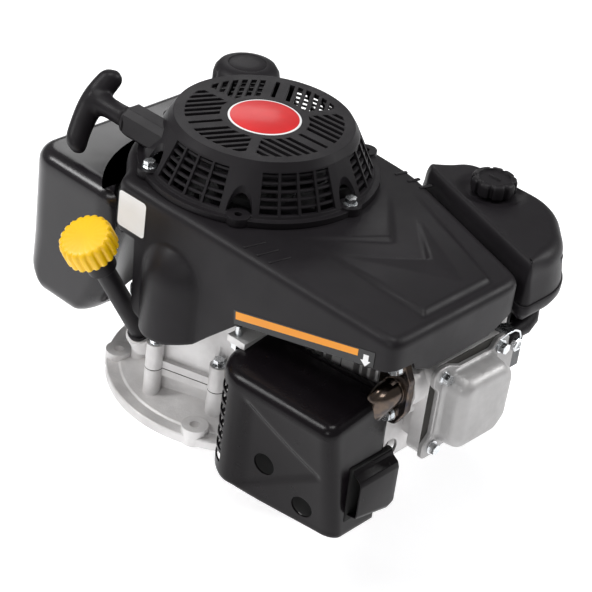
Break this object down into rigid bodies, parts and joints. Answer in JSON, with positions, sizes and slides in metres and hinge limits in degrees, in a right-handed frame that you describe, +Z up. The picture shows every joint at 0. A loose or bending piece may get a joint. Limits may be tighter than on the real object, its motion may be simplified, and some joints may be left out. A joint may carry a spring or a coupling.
{
  "type": "small gasoline engine",
  "caption": "Single-cylinder vertical-shaft gasoline engine with recoil starter, blower shroud, fuel tank, muffler, air cleaner and a round mounting flange.",
  "frame": {"origin": "on the crankshaft axis in the plane of the mounting flange's underside", "axes": "+Z up along the crankshaft, +X along the cylinder towards the valve cover, -Y the exhaust side"},
  "size_m": [0.434, 0.3279, 0.3248],
  "materials": {
    "cast_aluminium": "as-cast, fine grain",
    "cast_iron": "turned",
    "machined_steel": "ground and oiled",
    "zinc_plate": "bright zinc plate",
    "gasket_fibre": "pressed fibre and rubber",
    "black_plastic": "satin, fine moulded grain",
    "black_gloss": "gloss blow-moulded",
    "yellow_plastic": "satin bright yellow",
    "muffler_black": "satin heat paint",
    "heated_steel": "heat-tinted bright steel",
    "badge_red": "gloss",
    "filter_foam": "open-cell foam",
    "braided_rope": "braided polyester",
    "porcelain": "glazed ceramic and steel",
    "laminated_iron": "varnished laminations and resin"
  },
  "bodies": {
    "engine": {"sump_cover": "cast_aluminium", "crankcase": "cast_aluminium", "cylinder_head": "cast_aluminium", "valve_cover": "cast_aluminium", "carburettor": "cast_aluminium", "rocker_studs": "machined_steel", "valve_springs": "machined_steel", "recoil_spring": "machined_steel", "sump_bolts": "zinc_plate", "head_bolts": "zinc_plate", "valve_cover_bolts": "zinc_plate", "cover_bolts": "zinc_plate", "exhaust_nuts": "zinc_plate", "control_bracket": "zinc_plate", "gaskets_and_seals": "gasket_fibre", "blower_shroud": "black_plastic", "starter_housing": "black_plastic", "air_cleaner_base": "black_plastic", "oil_fill_tube": "black_plastic", "rope_bush": "black_plastic", "fuel_tank": "black_gloss", "muffler_shell": "muffler_black", "heat_shield": "muffler_black", "outlet_deflector": "muffler_black", "exhaust_pipe": "heated_steel", "centre_badge": "badge_red", "filter_element": "filter_foam", "spark_plug": "porcelain", "ignition_coil": "laminated_iron"},
    "crankshaft": {"crankshaft_lower": "machined_steel", "crankshaft_upper": "machined_steel", "crank_gear": "machined_steel", "flywheel": "cast_iron", "fan": "black_plastic", "flywheel_nut": "machined_steel", "starter_cup": "machined_steel"},
    "camshaft": {"camshaft": "machined_steel", "cam_gear": "machined_steel"},
    "piston": {"piston": "cast_aluminium", "piston_rings": "machined_steel", "wrist_pin": "machined_steel", "crank_pin": "machined_steel", "connecting_rod": "cast_aluminium", "rod_cap": "cast_aluminium"},
    "starter_reel": {"starter_pulley": "black_plastic", "wound_rope": "braided_rope", "starter_dogs": "black_plastic"},
    "pull_handle": {"pull_handle": "black_plastic"},
    "fuel_cap": {"fuel_cap": "black_gloss"},
    "dipstick": {"dipstick": "yellow_plastic"},
    "air_cleaner_cover": {"air_cleaner_cover": "black_plastic"},
    "air_cleaner_knob": {"air_cleaner_knob": "black_plastic"},
    "throttle_lever": {"throttle_lever": "zinc_plate"},
    "choke_lever": {"choke_lever": "zinc_plate"},
    "intake_pushrod": {"intake_pushrod": "machined_steel"},
    "intake_rocker": {"intake_rocker": "machined_steel"},
    "intake_valve": {"intake_valve": "machined_steel"},
    "exhaust_pushrod": {"exhaust_pushrod": "machined_steel"},
    "exhaust_rocker": {"exhaust_rocker": "machined_steel"},
    "exhaust_valve": {"exhaust_valve": "machined_steel"}
  },
  "joints": [
    {"name": "crankshaft_spin", "type": "hinge", "parent": "engine", "child": "crankshaft", "pos_m": [0, 0, 0], "axis": [0, 0, 1], "continuous": true},
    {"name": "camshaft_spin", "type": "hinge", "parent": "engine", "child": "camshaft", "pos_m": [0.0253, 0.046, 0], "axis": [0, 0, 1], "continuous": true},
    {"name": "piston_slide", "type": "slide", "parent": "engine", "child": "piston", "axis": [1, 0, 0], "range_m": [-0.051, 0]},
    {"name": "handle_pull", "type": "slide", "parent": "engine", "child": "pull_handle", "axis": [-1, 0, 0], "range_m": [0, 0.75], "stiffness_N_per_m": 20, "springref_m": -0.1},
    {"name": "reel_turn", "type": "hinge", "parent": "engine", "child": "starter_reel", "pos_m": [0, 0, 0.231], "axis": [0, 0, 1], "range_deg": [-720, 0]},
    {"name": "fuel_cap_lift", "type": "slide", "parent": "engine", "child": "fuel_cap", "axis": [0, 0, 1], "range_m": [0, 0.04]},
    {"name": "dipstick_draw", "type": "slide", "parent": "engine", "child": "dipstick", "axis": [-0.05, -0.4971, 0.8662], "range_m": [0, 0.12]},
    {"name": "cleaner_cover_lift", "type": "slide", "parent": "engine", "child": "air_cleaner_cover", "axis": [0, 0, 1], "range_m": [0, 0.05]},
    {"name": "cleaner_knob_turn", "type": "hinge", "parent": "air_cleaner_cover", "child": "air_cleaner_knob", "pos_m": [0.147, 0.124, 0.2], "axis": [0, 0, 1], "range_deg": [0, 1440]},
    {"name": "throttle_turn", "type": "hinge", "parent": "engine", "child": "throttle_lever", "pos_m": [0.182, 0.078, 0.105], "axis": [0, 0, 1], "range_deg": [-75, 0]},
    {"name": "choke_turn", "type": "hinge", "parent": "engine", "child": "choke_lever", "pos_m": [0.182, 0.098, 0.105], "axis": [0, 0, 1], "range_deg": [-55, 0]},
    {"name": "intake_pushrod_slide", "type": "slide", "parent": "engine", "child": "intake_pushrod", "axis": [1, 0, 0], "range_m": [0, 0.0055], "stiffness_N_per_m": 500, "springref_m": -0.004},
    {"name": "intake_rocker_tilt", "type": "hinge", "parent": "engine", "child": "intake_rocker", "pos_m": [0.234, 0.02, 0.104], "axis": [0, 0, 1], "range_deg": [-12.6, 0]},
    {"name": "intake_valve_slide", "type": "slide", "parent": "engine", "child": "intake_valve", "axis": [-1, 0, 0], "range_m": [0, 0.0056], "deforming": ["valve_springs"]},
    {"name": "exhaust_pushrod_slide", "type": "slide", "parent": "engine", "child": "exhaust_pushrod", "axis": [1, 0, 0], "range_m": [0, 0.0055], "stiffness_N_per_m": 500, "springref_m": -0.004},
    {"name": "exhaust_rocker_tilt", "type": "hinge", "parent": "engine", "child": "exhaust_rocker", "pos_m": [0.234, 0.02, 0.132], "axis": [0, 0, 1], "range_deg": [-12.6, 0]},
    {"name": "exhaust_valve_slide", "type": "slide", "parent": "engine", "child": "exhaust_valve", "axis": [-1, 0, 0], "range_m": [0, 0.0056], "deforming": ["valve_springs"]}
  ],
  "couplings": [
    {"joint": "camshaft_spin", "follows": "crankshaft_spin", "ratio": -0.5},
    {"joint": "reel_turn", "follows": "handle_pull", "rad_per_m": -16.667},
    {"joint": "intake_rocker_tilt", "follows": "intake_pushrod_slide", "rad_per_m": -38.462},
    {"joint": "intake_valve_slide", "follows": "intake_pushrod_slide", "ratio": 1},
    {"joint": "exhaust_rocker_tilt", "follows": "exhaust_pushrod_slide", "rad_per_m": -38.462},
    {"joint": "exhaust_valve_slide", "follows": "exhaust_pushrod_slide", "ratio": 1}
  ]
}
